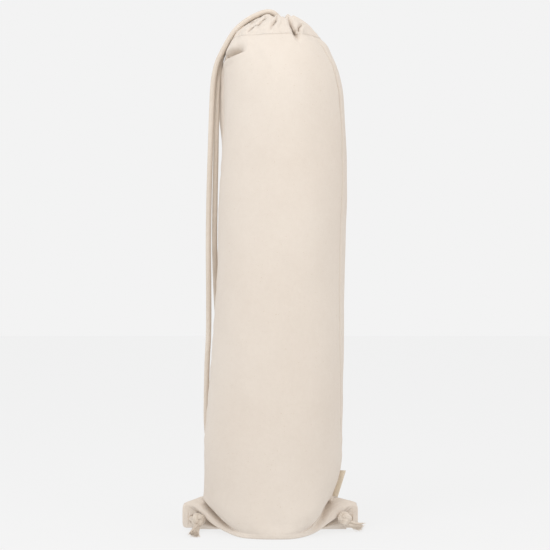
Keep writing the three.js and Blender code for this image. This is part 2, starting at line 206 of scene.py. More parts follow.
def braidedTube(name, path, radii, sides, relief):
    sideways, upwards = carriedFrames(path)
    along = np.concatenate([[0], np.cumsum(np.linalg.norm(np.diff(path, axis=0), axis=1))])
    angles = np.linspace(0, 2 * math.pi, sides, endpoint=False)
    s, a = np.meshgrid(along, angles, indexing="ij")
    r = braidRadius(a, s, np.broadcast_to(np.asarray(radii, dtype=float), along.shape)[:, None], relief)
    verts = path[:, None, :] + r[..., None] * (np.cos(a)[..., None] * sideways[:, None, :]
                                               + np.sin(a)[..., None] * upwards[:, None, :])
    faces = gridFaces(len(path), sides, wrap=True)
    faces.append(tuple(range(sides - 1, -1, -1)))
    faces.append(tuple((len(path) - 1) * sides + j for j in range(sides)))
    uvs = np.stack([a / (2 * math.pi) * cord["girth"] * mm, s * mm], axis=-1).reshape(-1, 2)
    return newMesh(name, verts.reshape(-1, 3), faces, uvs)


def addStrand(name, route):
    path, length = catmullPath(route, cord["ringStep"])
    piece = braidedTube(name, path, cord["diameter"] / 2, cord["sides"], cord["relief"])
    print(name, "is", round(length), "mm long")
    follow = [tuple(((p + np.array([originShift, 0, 0])) * mm).tolist()) for p in path[::10]]
    follow.append(tuple(((path[-1] + np.array([originShift, 0, 0])) * mm).tolist()))
    return piece, follow, length * mm


leftStrand, leftPath, leftLength = addStrand("strandOuter", leftStrandRoute)
rightStrand, rightPath, rightLength = addStrand("strandInner", rightStrandRoute)

knot = {
    "cordRadius": 4.5,  # the cord bulges where it is drawn tight
    "ring": 3.5,
    "swing": 1.4,
    "relief": 0.85,
    "sides": 36,
    "yarns": 105,
    "fibres": 190,
    "tailRadius": 3.3,
    "tailFan": 1.1,  # above 1 the yarns part later
    "tailLie": 0.8,  # how flat the tail ends, from 0 to 1
}
# where each knot and its tail lie, in mm, and how the knot is turned, in radians
knotPlaces = {
    "cornerKnotLeft": {
        "centre": (-96.6, -19, 14.8),
        "turned": 0.35,
        "lean": -0.1,
        "start": 2.3,
        "leadIn": [(-103.4, -9.6, 14.8), (-101, -14, 15.2), (-98.5, -18.5, 15.5)],
        "tail": [(-97, -18, 9), (-97.8, -28, 7), (-98.8, -40, 4.6), (-99.6, -55, 2.4), (-100.2, -72, 0.9)],
        "spreads": [(8.5, 0, 0), (0, 3, 0.3)],
        "seed": 5,
    },
    "cornerKnotRight": {
        "centre": (87.6, -18.5, 16.6),
        "turned": -0.35,
        "lean": -0.1,
        "start": 2.3,
        "leadIn": [(91.3, -9, 16.2), (90, -14, 16.4), (88.5, -18, 16.5)],
        "tail": [(90, -18, 13), (95, -19, 10.2), (100, -19.5, 8), (106, -18.8, 6.4), (112.5, -17, 5.2)],
        "spreads": [(0, 5.5, 0), (2.5, 0, 6.2)],
        "seed": 9,
    },
}


def knotPath(centre, axisTurn, lean, start):
    # an overhand knot's three crossing turns, drawn tight
    t = np.linspace(start, start + 2 * math.pi * 0.985, 190)
    ring = knot["ring"] + knot["swing"] * np.cos(3 * t)
    depth = -knot["swing"] * 1.8 * np.sin(3 * t)
    flat = np.stack([ring * np.cos(2 * t), depth, ring * np.sin(2 * t)], axis=-1)
    c, s = math.cos(axisTurn), math.sin(axisTurn)
    spun = np.stack([flat[:, 0] * c - flat[:, 1] * s, flat[:, 0] * s + flat[:, 1] * c, flat[:, 2]], axis=-1)
    c, s = math.cos(lean), math.sin(lean)
    y, z = spun[:, 1], spun[:, 2]
    tipped = np.stack([spun[:, 0], y * c - z * s, y * s + z * c], axis=-1)
    return tipped + np.array(centre)


def joined(name, pieces):
    # several meshes made one
    bpy.ops.object.select_all(action="DESELECT")
    for piece in pieces:
        piece.select_set(True)
    bpy.context.view_layer.objects.active = pieces[0]
    bpy.ops.object.join()
    whole = bpy.context.object
    whole.name = name
    whole.data.name = name
    return whole


def thinYarns(name, lines, sides):
    verts, faces, uvs = [], [], []
    for path, radii in lines:
        sideways, upwards = carriedFrames(path)
        start = len(verts) * sides
        for i, p in enumerate(path):
            ring = [p + radii[i] * (math.cos(2 * math.pi * j / sides) * sideways[i]
                                    + math.sin(2 * math.pi * j / sides) * upwards[i]) for j in range(sides)]
            verts.append(ring)
            uvs.append([(j / sides * 0.004, i * 0.002) for j in range(sides)])
        faces += gridFaces(len(path), sides, start=start, wrap=True)
        faces.append(tuple(start + j for j in range(sides - 1, -1, -1)))
        faces.append(tuple(start + (len(path) - 1) * sides + j for j in range(sides)))
    return newMesh(name, np.array(verts).reshape(-1, 3), faces, np.array(uvs).reshape(-1, 2))


def addTail(name, route, spreads, seed):
    # the cord's cut end, open into its yarns
    rng = random.Random(seed)
    middle, _ = catmullPath(route, 1.6)
    sideways, upwards = carriedFrames(middle)
    count = len(middle)
    share = np.linspace(0, 1, count)
    fan = share ** knot["tailFan"]
    lines = []
    for i in range(knot["yarns"] + knot["fibres"]):
        fine = i >= knot["yarns"]
        around = rng.uniform(0, 2 * math.pi)
        out = rng.random() ** 0.7
        reach = rng.uniform(0.8, 1.0) if fine else rng.uniform(0.7, 0.96)
        wave = rng.uniform(0.2, 0.9) * (1.6 if fine else 1.0)
        phase = rng.uniform(0, 6.3)
        turns = rng.uniform(0.5, 1.4)
        offset = np.array(spreads[0]) * (out * math.cos(around))
        offset = offset + np.array(spreads[1]) * (out * math.sin(around))
        stray = np.array([rng.gauss(0, 1), rng.gauss(0, 1), rng.gauss(0, 0.6)]) * (1.9 if fine else 0.8)
        lie = (1 - knot["tailLie"] * share)[:, None]
        bundle = sideways * math.cos(around) + upwards * lie * math.sin(around)
        bundle = bundle * knot["tailRadius"] * out
        path = middle + bundle * (1 - 0.2 * share)[:, None] + fan[:, None] * (offset + stray)
        path = path + (np.sin(share * turns * 6.3 + phase) * wave * fan)[:, None] * sideways
        keep = max(4, int(count * reach))
        path = path[:keep]
        path[:, 2] = np.maximum(path[:, 2], 0.35)  # above the floor
        radius = rng.uniform(0.08, 0.14) if fine else rng.uniform(0.7, 1.0)
        lines.append((path, radius * (1 - 0.85 * np.linspace(0, 1, keep) ** 3)))
    return thinYarns(name, lines, 5)


def addKnot(name):
    place = knotPlaces[name]
    turns = knotPath(place["centre"], place["turned"], place["lean"], place["start"])
    ball = braidedTube(name, turns, knot["cordRadius"], knot["sides"], knot["relief"])
    lead, _ = catmullPath(place["leadIn"], 0.8)
    narrowing = np.linspace(3.45, 3.0, len(lead))
    neck = braidedTube(name + "Neck", lead, narrowing, knot["sides"], cord["relief"])
    tail = addTail(name + "Tail", place["tail"], place["spreads"], place["seed"])
    return joined(name, [ball, neck, tail])


leftKnot = addKnot("cornerKnotLeft")
rightKnot = addKnot("cornerKnotRight")
print("cords and knots made")


# the cloth's sections, from the bottom seam to the inside of the mouth
bag = {
    "height": 650.0,
    "halfWidth": 90.0,
    "halfDepth": 88.0,
    "earHeight": 42.0,
    "wall": 1.1,
    "hemWall": 1.8,
    "seamHeight": 75,  # below it the panels meet on the bag's middle plane
    "seamGap": 0.12,
    "columns": 168,  # in each panel
    "floorStep": 4.2,  # mm between rows of the mesh
    "footStep": 1.3,
    "tubeStep": 4.2,
    "shoulderStep": 1.6,
}
# the foot: each row goes from an ear's end to the middle of the front
leftFoot = [
    [(-103.5, -0.2, 0.6), (-97, -0.2, 0.6), (-88, -0.2, 0.6), (-75, -0.2, 0.5), (-60, -0.2, 0.3),
     (-40, -0.2, 0.2), (-20, -0.2, 0.2), (0, -0.2, 0.2)],
    [(-104.5, -0.5, 9), (-97, -3.2, 8), (-88, -7, 6.6), (-75, -13, 4.2), (-60, -18, 1.8),
     (-40, -24, 0.4), (-20, -29, 0.2), (0, -30, 0.2)],
    [(-107, -0.5, 22), (-97, -0.8, 20), (-88, -0.9, 15.2), (-75, -4.5, 8.6), (-60, -28, 3.2),
     (-40, -52, 0.6), (-20, -61, 0.2), (0, -63, 0.2)],
    [(-113.5, -0.8, 29.8), (-97.5, -8, 24), (-88, -16, 17), (-75, -30.5, 9), (-61, -48, 3.8),
     (-41, -72, 0.5), (-20.5, -82, 0.2), (0, -84.5, 0.2)],
    [(-115.4, -1, 32.3), (-98, -10, 26), (-88.5, -18.5, 18.8), (-75.5, -32.8, 10.6), (-61.5, -51, 5.2),
     (-41.5, -74.5, 1.5), (-20.7, -84, 1.1), (0, -86.5, 1.1)],
    [(-114.0, -0.8, 34.2), (-97.5, -8.5, 32.2), (-88, -17.5, 24.7), (-75, -31, 16.6),
     (-61, -50.5, 9.2), (-41.2, -74.4, 4.3), (-20.8, -84.8, 3.8), (0, -87.4, 3.8)],
    [(-101, -0.5, 39.3), (-94, -3, 38.2), (-86.5, -7.5, 34), (-73.5, -22, 24.2), (-60.7, -42.5, 13.8),
     (-41.2, -73, 7), (-21.2, -85.1, 6.4), (0, -87.7, 6.4)],
    [(-94.8, -0.4, 42), (-91.6, -6.5, 40.6), (-87, -17, 36.2), (-76, -33, 27), (-62.8, -51.5, 17),
     (-44, -72, 9.4), (-21.8, -85.6, 8.6), (0, -87.9, 8.6)],
    [(-91.5, -0.3, 43), (-91, -10, 42), (-86.8, -25, 38.6), (-76.8, -41, 31), (-63.8, -57, 21.4),
     (-45.6, -73, 13), (-22.5, -86, 12), (0, -88, 12)],
    [(-90.6, -0.3, 51), (-90, -9.5, 50), (-86.6, -25, 47), (-77.6, -43.5, 40), (-64.3, -60.6, 31),
     (-46, -75, 24.4), (-23, -86.2, 23), (0, -88.2, 23)],
    [(-90, -0.3, 64), (-89.6, -8.3, 64), (-86.6, -24.2, 62), (-78.3, -43.5, 58), (-64.8, -61.2, 52),
     (-46.4, -75.4, 47), (-23.3, -85.4, 45), (0, -88.1, 45)],
]
rightFoot = [
    [(90.5, -0.2, 0.6), (84, -0.2, 0.6), (76, -0.2, 0.6), (65, -0.2, 0.5), (55, -0.2, 0.3),
     (40, -0.2, 0.2), (20, -0.2, 0.2)],
    [(91, -0.5, 9), (84, -3.2, 8), (76, -7, 7), (65, -13, 5), (55, -18, 2.6), (40, -24, 0.6),
     (20, -29, 0.2)],
    [(93, -0.5, 22), (85, -0.8, 20), (76, -0.9, 15.8), (65, -4.5, 9.8), (56, -20, 5), (42, -48, 1.2),
     (20, -61, 0.2)],
    [(101.3, -0.8, 29.2), (86, -8, 22), (76.5, -16, 16.2), (65, -28, 10.4), (57, -39.5, 6),
     (45, -56, 2.2), (21, -81, 0.2)],
    [(103.4, -1, 31.6), (86.8, -10, 24), (77, -18.5, 18.2), (65.5, -30.5, 12), (57.5, -42.5, 7.7),
     (45.7, -59, 4), (21, -83.6, 1.1)],
    [(101.8, -0.9, 34.6), (85.6, -9.5, 31.4), (74.4, -17.5, 25.8), (63.4, -29.5, 20),
     (55.2, -42.2, 14.8), (44.2, -59.8, 9), (21, -84.6, 3.9)],
    [(85, -0.5, 39.2), (73.5, -3.2, 39.2), (66.8, -9, 36.2), (60, -22, 29.6), (53, -37, 22),
     (43.6, -57, 12.6), (21.2, -85, 6.8)],
    [(76, -0.4, 41.4), (71.4, -6.5, 40.8), (67.8, -16, 38), (61.4, -31, 30.8), (54.4, -47, 23.2),
     (45, -62, 14.8), (22, -85.6, 9)],
    [(73, -0.4, 44), (71.6, -10, 43), (68.8, -22, 40.4), (62.4, -38, 33.6), (55.4, -52.6, 26),
     (45.6, -66.5, 18), (22.5, -86, 12.6)],
    [(76.6, -0.3, 54), (75.4, -9.6, 53.4), (72.2, -25, 51), (66, -43, 44.5), (57, -58.4, 37),
     (46.5, -71.4, 29.4), (23.5, -86.1, 24)],
    [(80.2, -0.3, 65), (79.6, -9.2, 65), (76.6, -25.6, 62.6), (69.4, -43.8, 58), (58.6, -60, 53),
     (45.6, -72.6, 48.4), (22.4, -84.8, 45.4)],
]
leftTurns = [0, 5.4, 16, 29.6, 44, 59, 75, 90]
rightTurns = [0, 6, 17, 30, 43, 55.5, 74.4]
# the tube: height share, left and right half widths and half depth as shares
tubeSections = [
    (0.051, 0.994, 0.933, 1.0),
    (0.1, 0.99, 0.944, 1.0),
    (0.163, 0.952, 0.96, 1.0),
    (0.244, 0.911, 0.967, 1.0),
    (0.328, 0.873, 0.972, 1.0),
    (0.419, 0.833, 0.97, 0.99),
    (0.513, 0.8, 0.985, 0.98),
    (0.61, 0.783, 1.005, 0.97),
    (0.697, 0.744, 1.003, 0.95),
    (0.781, 0.714, 0.981, 0.93),
    (0.849, 0.718, 0.95, 0.9),
    (0.891, 0.72, 0.883, 0.84),
    (0.918, 0.708, 0.804, 0.77),
    (0.94, 0.655, 0.733, 0.69),
    (0.956, 0.588, 0.628, 0.6),
]
hemSections = [
    (0.968, 0.514, 0.552, 0.53),
    (0.979, 0.415, 0.488, 0.44),
    (0.988, 0.305, 0.4, 0.355),
    (0.995, 0.21, 0.31, 0.27),
    (0.999, 0.13, 0.27, 0.2),
    (0.996, 0.085, 0.235, 0.165),
    (0.984, 0.07, 0.22, 0.15),
    (0.968, 0.07, 0.22, 0.15),
]
tubeBase = bag["earHeight"] * 1.3


def tubeHeight(share):
    return tubeBase + (bag["height"] - tubeBase) * share


# where the two side seams run: height in mm, the left seam's turn and the right seam's
seamRuns = np.array([
    (0, 0, 180), (80, 0, 179), (105, 0, 174), (140, 0, 165), (250, 1, 157), (400, 1, 155), (470, 2, 155),
    (520, 2, 156), (590, 2, 153), (650, 2, 148),
], dtype=float)


def seamTurns(height):
    return [np.interp(height, seamRuns[:, 0], seamRuns[:, side]) for side in (1, 2)]


def ring(section, turn):
    # one level ring of the bag, its turn counted from the left side by way of the front
    share, left, right, depth = section
    across = np.cos(np.radians(turn))
    x = bag["halfWidth"] * ((right - left) / 2 - across * (right + left) / 2)
    y = -bag["halfDepth"] * depth * np.sin(np.radians(turn))
    return np.stack([x, y, np.full_like(x, tubeHeight(share))], axis=-1)


def panelRow(section, turns, sideOf):
    # turns from 0 at the left seam to 180 at the right
    leftSeam, rightSeam = seamTurns(tubeHeight(section[0]))
    if sideOf == "front":
        return ring(section, leftSeam + turns / 180 * (rightSeam - leftSeam))
    return ring(section, leftSeam - turns / 180 * (360 - rightSeam + leftSeam))


def panelControl(sideOf):
    flip = np.array([1, 1 if sideOf == "front" else -1, 1])
    places = np.linspace(0, 14, bag["columns"])
    turnList = np.array(leftTurns + [180 - t for t in rightTurns[::-1]], dtype=float)
    turns = throughPoints(turnList[:, None], places)[:, 0]
    rows = []
    for leftRow, rightRow in zip(leftFoot, rightFoot):
        rows.append(throughPoints(np.array(leftRow + rightRow[::-1], dtype=float) * flip, places))
    for section in tubeSections + hemSections[:1]:
        rows.append(panelRow(section, turns, sideOf))
    return np.array(rows)


def evenRows(control, steps):
    # row places so that the rows of each control interval stay about its step apart along the cloth
    places = [0.0]
    for k, step in enumerate(steps):
        length = np.linalg.norm(control[k + 1] - control[k], axis=-1).max()
        count = max(2, int(math.ceil(length / step)))
        places.extend(k + (i + 1) / count for i in range(count))
    return np.array(places)


def outwardNormals(points, closed=False):
    wrapped = np.concatenate([points[:, -3:], points, points[:, :3]], axis=1) if closed else points
    n = np.cross(np.gradient(wrapped, axis=1), np.gradient(wrapped, axis=0))
    if (n[..., :2] * (wrapped[..., :2] - wrapped[..., :2].mean(axis=(0, 1)) * [1, 0])).sum() < 0:
        n = -n
    n /= np.maximum(np.linalg.norm(n, axis=-1), 1e-9)[..., None]
    return n[:, 3:-3] if closed else n


# gathers: turn, depth as a share of the radius, spread in degrees, height share where each starts
gathers = [
    (63, 0.06, 8, 0.93), (117, 0.1, 7, 0.93), (153, 0.08, 9, 0.9), (207, 0.12, 9, 0.9), (234, 0.1, 9, 0.92),
    (261, 0.14, 9, 0.89), (297, 0.12, 10, 0.9), (333, 0.1, 9, 0.91),
]
fineCount = 30
pleatRandom = random.Random(11)
finePleats = [(i * 360 / fineCount + pleatRandom.uniform(-4, 4), pleatRandom.uniform(0.015, 0.05),
               pleatRandom.uniform(2.4, 4.4), pleatRandom.uniform(0.93, 0.955)) for i in range(fineCount)]
waveRandom = random.Random(4)
# slow and small waves of slack: how fast each runs in x, y and z, its phase and its size in mm
waves = [(waveRandom.uniform(-1, 1) / 14, waveRandom.uniform(-1, 1) / 14, waveRandom.uniform(-1, 1) / 30,
          waveRandom.uniform(0, 6.3), 0.3) for i in range(9)]
waves += [(waveRandom.uniform(-1, 1) / 5.5, waveRandom.uniform(-1, 1) / 5.5, waveRandom.uniform(-1, 1) / 8,
           waveRandom.uniform(0, 6.3), 0.06) for i in range(10)]
# folds seen from the front: points in x and z, depth, half widths above and below the line, in mm
frontFolds = [
    ([(16.6, 644), (18, 635), (21.2, 627.5), (25, 620), (27.8, 614)], 13.0, 2.8, 1.3),
    ([(33.5, 636.5), (29.8, 630.5), (29.6, 625)], 14.0, 2.2, 1.5),
    ([(3.4, 649), (2.6, 639.5), (-1.0, 634.5), (-4.6, 628)], 8.0, 3.0, 1.3),
    ([(-15, 647), (-22.5, 641.6), (-30.5, 634.4)], 9.0, 2.2, 1.9),
    ([(-9.5, 645), (-15, 641), (-19.6, 635.4), (-22, 631)], 8.5, 2.2, 1.8),
    ([(-24, 634.5), (-29.5, 629.6), (-33, 625.5)], 6.0, 2.0, 1.5),
    ([(-38, 636), (-43, 629), (-47, 621)], 4.5, 2.8, 1.6),
    ([(10, 646), (11, 638), (10.5, 630)], 1.8, 2.2, 2.2),
    ([(38, 632), (44, 622), (49, 611)], 2.4, 4.2, 3.0),
    ([(50, 618), (55, 608), (58, 598)], 1.4, 5.0, 4.0),
    ([(-66, 593.4), (-60.5, 596.6), (-54, 599.4), (-45, 603.5)], 14.0, 4.6, 1.4),
    ([(-34, 612), (-22, 596), (-14, 582)], 0.9, 6.0, 6.0),
]
shoulderFold = {
    "lip": 592.4,  # height of its sharp lower edge at the left side
    "leftEnd": -64.0,
    "slope": 0.33,
    "fades": (-57.0, -34.0),  # where it runs out, in x
    "depth": 24.0,
    "rise": 19.0,  # height of the hollow over the lip
    "narrows": (-62.0, -44.0),
    "narrowing": 0.4,
    "roll": 2.0,  # mm that the cloth stands out under the lip
}
# the cloth stands out beside the cords
sideBulge = {
    "depth": 12.0,
    "turn": 345,
    "spread": 12,
    "grows": (455, 540),  # heights in mm
    "ends": (580, 604),
}
# the groove along each side seam, which is deeper from the heights in "deepens" up
seamGrooves = {
    "left": {"shift": -1.5, "depth": 1.2, "extra": 3.2, "deepens": (470, 520), "width": 1.7},
    "right": {"shift": 0, "depth": 1.8, "extra": 3.2, "deepens": (500, 560), "width": 1.9},
}
# folds round each foot: points in x and z, depth, half widths on the body's side and on the other, in mm
footFolds = [
    ([(-88.5, 40), (-85.4, 34), (-73.5, 23.5), (-66, 16.5), (-56, 9.5), (-47, 5.5)], 10.0, 1.2, 5.2),
    ([(-108, 31.6), (-101, 27), (-95.5, 23)], 2.4, 0.9, 1.2),
    ([(69.5, 43), (66.5, 36.5), (63, 29.5), (57, 18.5), (47, 9.5), (38, 5.5)], 13.0, 1.1, 4.8),
    ([(97.5, 31), (90.5, 26.5), (84.5, 22)], 2.4, 0.9, 1.2),
]
sectionHeights = [tubeHeight(s[0]) for s in tubeSections + hemSections[:5]]
sectionShares = np.array([s[1:] for s in tubeSections + hemSections[:5]])


def turnApart(turn, other):
    apart = np.abs(turn - other) % 360
    return np.minimum(apart, 360 - apart)


def turnOf(points):
    # degrees round the section at each point's height, from its left side by way of the front
    left, right, depth = [np.interp(points[..., 2], sectionHeights, sectionShares[:, k]) for k in range(3)]
    centre = bag["halfWidth"] * (right - left) / 2
    x = (points[..., 0] - centre) / (bag["halfWidth"] * (right + left) / 2)
    return np.degrees(np.arctan2(-points[..., 1] / (bag["halfDepth"] * depth), -x)) % 360


def distanceTo(points, line):
    # distance to a drawn line in x and z, the share of the way along it, and whether the point is above it
    best = np.full(points.shape[:-1], 1e9)
    where = np.zeros(points.shape[:-1])
    above = np.zeros(points.shape[:-1], dtype=bool)
    flat = points[..., [0, 2]]
    count = len(line) - 1
    for i in range(count):
        a = np.array(line[i], dtype=float)
        b = np.array(line[i + 1], dtype=float)
        t = np.clip(((flat - a) @ (b - a)) / np.dot(b - a, b - a), 0, 1)
        d = np.linalg.norm(flat - a - t[..., None] * (b - a), axis=-1)
        where = np.where(d < best, (i + t) / count, where)
        side = (flat[..., 1] - a[1]) * (b - a)[0] - (flat[..., 0] - a[0]) * (b - a)[1]
        above = np.where(d < best, side * np.sign((b - a)[0]) > 0, above)
        best = np.minimum(d, best)
    return best, where, above


def draped(points, closed=False):
    # gathers, folds, slack and seam puckers worked into a smooth skin
    turn = turnOf(points)
    height = points[..., 2]
    share = (height - tubeBase) / (bag["height"] - tubeBase)
    drawn = np.zeros_like(turn)
    for place, depth, spread, start in gathers:
        drawn += depth * smoothStep(share, start, 0.968) * np.exp(-(turnApart(turn, place) / spread) ** 2)
    for place, depth, spread, start in finePleats:
        apart = turnApart(turn, place) / spread
        drawn += depth * smoothStep(share, start, 0.97) * np.exp(-np.abs(apart) ** 1.5)
    out = points.copy()
    out[..., 0] *= 1 - drawn
    out[..., 1] *= 1 - drawn
    slack = np.zeros_like(turn)
    for kx, ky, kz, phase, size in waves:
        slack += size * np.sin(points[..., 0] * kx + points[..., 1] * ky + height * kz + phase)
    slack *= smoothStep(height, 3, 20)
    apart = turnApart(turn, sideBulge["turn"]) / sideBulge["spread"]
    bulge = sideBulge["depth"] * np.exp(-apart ** 2) * smoothStep(height, *sideBulge["grows"])
    bulge *= 1 - smoothStep(height, *sideBulge["ends"])
    radius = np.hypot(points[..., 0], points[..., 1])
    seam = np.zeros_like(turn)
    pucker = np.sin(height / 2.9) * 0.16 + np.sin(height / 4.6 + 1.3) * 0.2
    for at, groove in zip(seamTurns(height), seamGrooves.values()):
        deep = groove["depth"] + groove["extra"] * smoothStep(height, *groove["deepens"])
        wide = groove["width"]
        apart = np.radians(turnApart(turn, at + groove["shift"])) * radius
        seam -= deep * np.exp(-(apart / wide) ** 2)
        seam += (0.35 + pucker) * np.exp(-((apart - wide * 3) / 3) ** 2)
    seam *= smoothStep(height, 58, 90)
    out = out + outwardNormals(out, closed) * ((slack + bulge + seam)[..., None])
    inFront = smoothStep(-points[..., 1], 2, 14)
    for line, depth, width, sharpWidth in frontFolds:
        away, where, above = distanceTo(out, line)
        taper = np.sin(np.pi * np.clip(where, 0.02, 0.98)) ** 0.6
        width = np.where(above, width, sharpWidth)
        pushed = -np.exp(-(away / width) ** 2) + 0.22 * np.exp(-((away - 2.6 * width) / (1.5 * width)) ** 2)
        out[..., 1] -= depth * pushed * taper * inFront
    for line, depth, bodySide, farSide in footFolds:
        away, where, above = distanceTo(out, line)
        taper = smoothStep(where, 0, 0.36) * (1 - smoothStep(where, 0.55, 1))
        pushed = np.where(above, np.exp(-(away / bodySide) ** 2), np.exp(-(away / farSide) ** 1.6))
        out[..., 1] += depth * pushed * taper * smoothStep(-points[..., 1], 2, 9)
    x = out[..., 0]
    over = out[..., 2] - shoulderFold["lip"] - (x - shoulderFold["leftEnd"]) * shoulderFold["slope"]
    narrow = shoulderFold["narrowing"] * (1 - smoothStep(x, *shoulderFold["narrows"]))
    rise = shoulderFold["rise"] * (1 - narrow)
    hollow = smoothStep(over, -0.8, 1.0) * np.clip(1 - over / rise, 0, 1) ** 1.5
    hollow = shoulderFold["depth"] * hollow - shoulderFold["roll"] * np.exp(-((over + 3.5) / 4) ** 2)
    hollow *= (1 - smoothStep(x, *shoulderFold["fades"])) * inFront
    return out - outwardNormals(points, closed) * hollow[..., None]


def clothUv(points):
    # flat coordinates in metres, across from the middle and up from the bottom seam
    across = np.linalg.norm(np.diff(points, axis=1), axis=-1)
    across = np.concatenate([np.zeros((len(points), 1)), np.cumsum(across, axis=1)], axis=1)
    across -= across[:, across.shape[1] // 2][:, None]
    up = np.linalg.norm(np.diff(points, axis=0), axis=-1)
    up = np.concatenate([np.zeros((1, points.shape[1])), np.cumsum(up, axis=0)], axis=0)
    middle = up[:, points.shape[1] // 2][:, None]
    return np.stack([across, 0 * across + middle], axis=-1).reshape(-1, 2) * mm


def shell(name, outer, inner, uv, turned=False, wrap=False):
    # a wall with an outer face, an inner face and its edges
    rows, cols = outer.shape[:2]
    size = rows * cols
    faces = gridFaces(rows, cols, turned=turned, wrap=wrap)
    faces += gridFaces(rows, cols, start=size, turned=not turned, wrap=wrap)
    edges = []
    top = (rows - 1) * cols
    for j in range(cols if wrap else cols - 1):
        k = (j + 1) % cols
        edges.append((j, size + j, size + k, k))
        edges.append((top + j, top + k, size + top + k, size + top + j))
    if not wrap:
        for i in range(rows - 1):
            a = i * cols
            b = a + cols - 1
            edges.append((a, a + cols, size + a + cols, size + a))
            edges.append((b, size + b, size + b + cols, b + cols))
    faces += [f[::-1] for f in edges] if turned else edges
    verts = np.concatenate([outer.reshape(-1, 3), inner.reshape(-1, 3)])
    return newMesh(name, verts, faces, np.concatenate([uv, uv]))


def keptToItsSide(points, sign):
    # low down a panel stays on its side of the bag's middle plane, and all of it above the floor
    low = points[..., 2] < bag["seamHeight"]
    kept = sign * np.maximum(points[..., 1] * sign, bag["seamGap"])
    points[..., 1] = np.where(low, kept, points[..., 1])
    points[..., 2] = np.maximum(points[..., 2], 0.05)


def addPanel(name, sideOf):
    control = panelControl(sideOf)
    floorRows, tubeRows, shoulderRows = 3, 10, 4
    steps = [bag["floorStep"]] * floorRows + [bag["footStep"]] * (len(leftFoot) - floorRows)
    steps += [bag["tubeStep"]] * tubeRows + [bag["shoulderStep"]] * shoulderRows
    points = throughPoints(control, evenRows(control, steps))
    sign = -1 if sideOf == "front" else 1
    points = draped(points)
    keptToItsSide(points, sign)
    inner = points - outwardNormals(points) * bag["wall"]
    keptToItsSide(inner, sign)
    return shell(name, points, inner, clothUv(points), turned=sideOf != "front")


frontPanel = addPanel("frontCanvas", "front")
backPanel = addPanel("backCanvas", "back")
print("panels made")


hem = {
    "columns": 420,
    "rowStep": 1.7,  # mm
    "puff": 1.3,  # mm that the casing stands out over the cord inside
    "lap": 0.35,
    "ruffle": 1.9,
}


def addHem():
    turns = np.linspace(0, 360, hem["columns"], endpoint=False)
    lapSection = tuple(0.2 * a + 0.8 * b for a, b in zip(tubeSections[-2], tubeSections[-1]))
    control = np.array([ring(section, turns) for section in [lapSection] + hemSections])
    places = evenRows(control, [hem["rowStep"]] * (len(control) - 1))
    points = draped(throughPoints(control, places), closed=True)
    puff = smoothStep(places, 0.0, 0.7) * (1 - smoothStep(places, 3.2, 5.2))
    points = points + outwardNormals(points, closed=True) * (hem["lap"] + hem["puff"] * puff)[:, None, None]
    rim = smoothStep(places, 1.5, 4.5) * (1 - smoothStep(places, 5.5, 7))
    ruffle = np.sin(np.radians(turns * 9) + 0.6) + 0.6 * np.sin(np.radians(turns * 17) + 2.1)
    points[..., 2] += hem["ruffle"] * rim[:, None] * ruffle[None, :]
    normals = outwardNormals(points, closed=True)
    inner = points - normals * bag["hemWall"]
    return shell("gatheredHem", points, inner, clothUv(points), wrap=True), points, normals


gatheredHem, hemPoints, hemNormals = addHem()
print("hem made")


def faceOutwards(piece):
    bpy.ops.object.select_all(action="DESELECT")
    piece.select_set(True)
    bpy.context.view_layer.objects.active = piece
    bpy.ops.object.mode_set(mode="EDIT")
    bpy.ops.mesh.select_all(action="SELECT")
    bpy.ops.mesh.normals_make_consistent(inside=False)
    bpy.ops.object.mode_set(mode="OBJECT")


# corner straps: a folded tongue of canvas at each ear's end, with the hole that the cord goes through
strap = {
    "thickness": 2.8,
    "sides": 72,
    "rings": 18,
    "hole": 3.9,
    "squareness": 0.36,  # 1 is an ellipse, and towards 0 the corners are square
    "lean": -2.4,
}


# the tongue's corners, the hole's centre and the line that it folds on, in x and z
strapPlaces = {
    "cornerStrapLeft": {
        "low": (-117.4, 2.6), "high": (-98.5, 33.4), "hole": (-105.2, 13.9), "fold": -109.2, "outside": -1},
    "cornerStrapRight": {
        "low": (86.5, 2.6), "high": (105.2, 32.6), "hole": (94.6, 14.6), "fold": 97.6, "outside": 1},
}


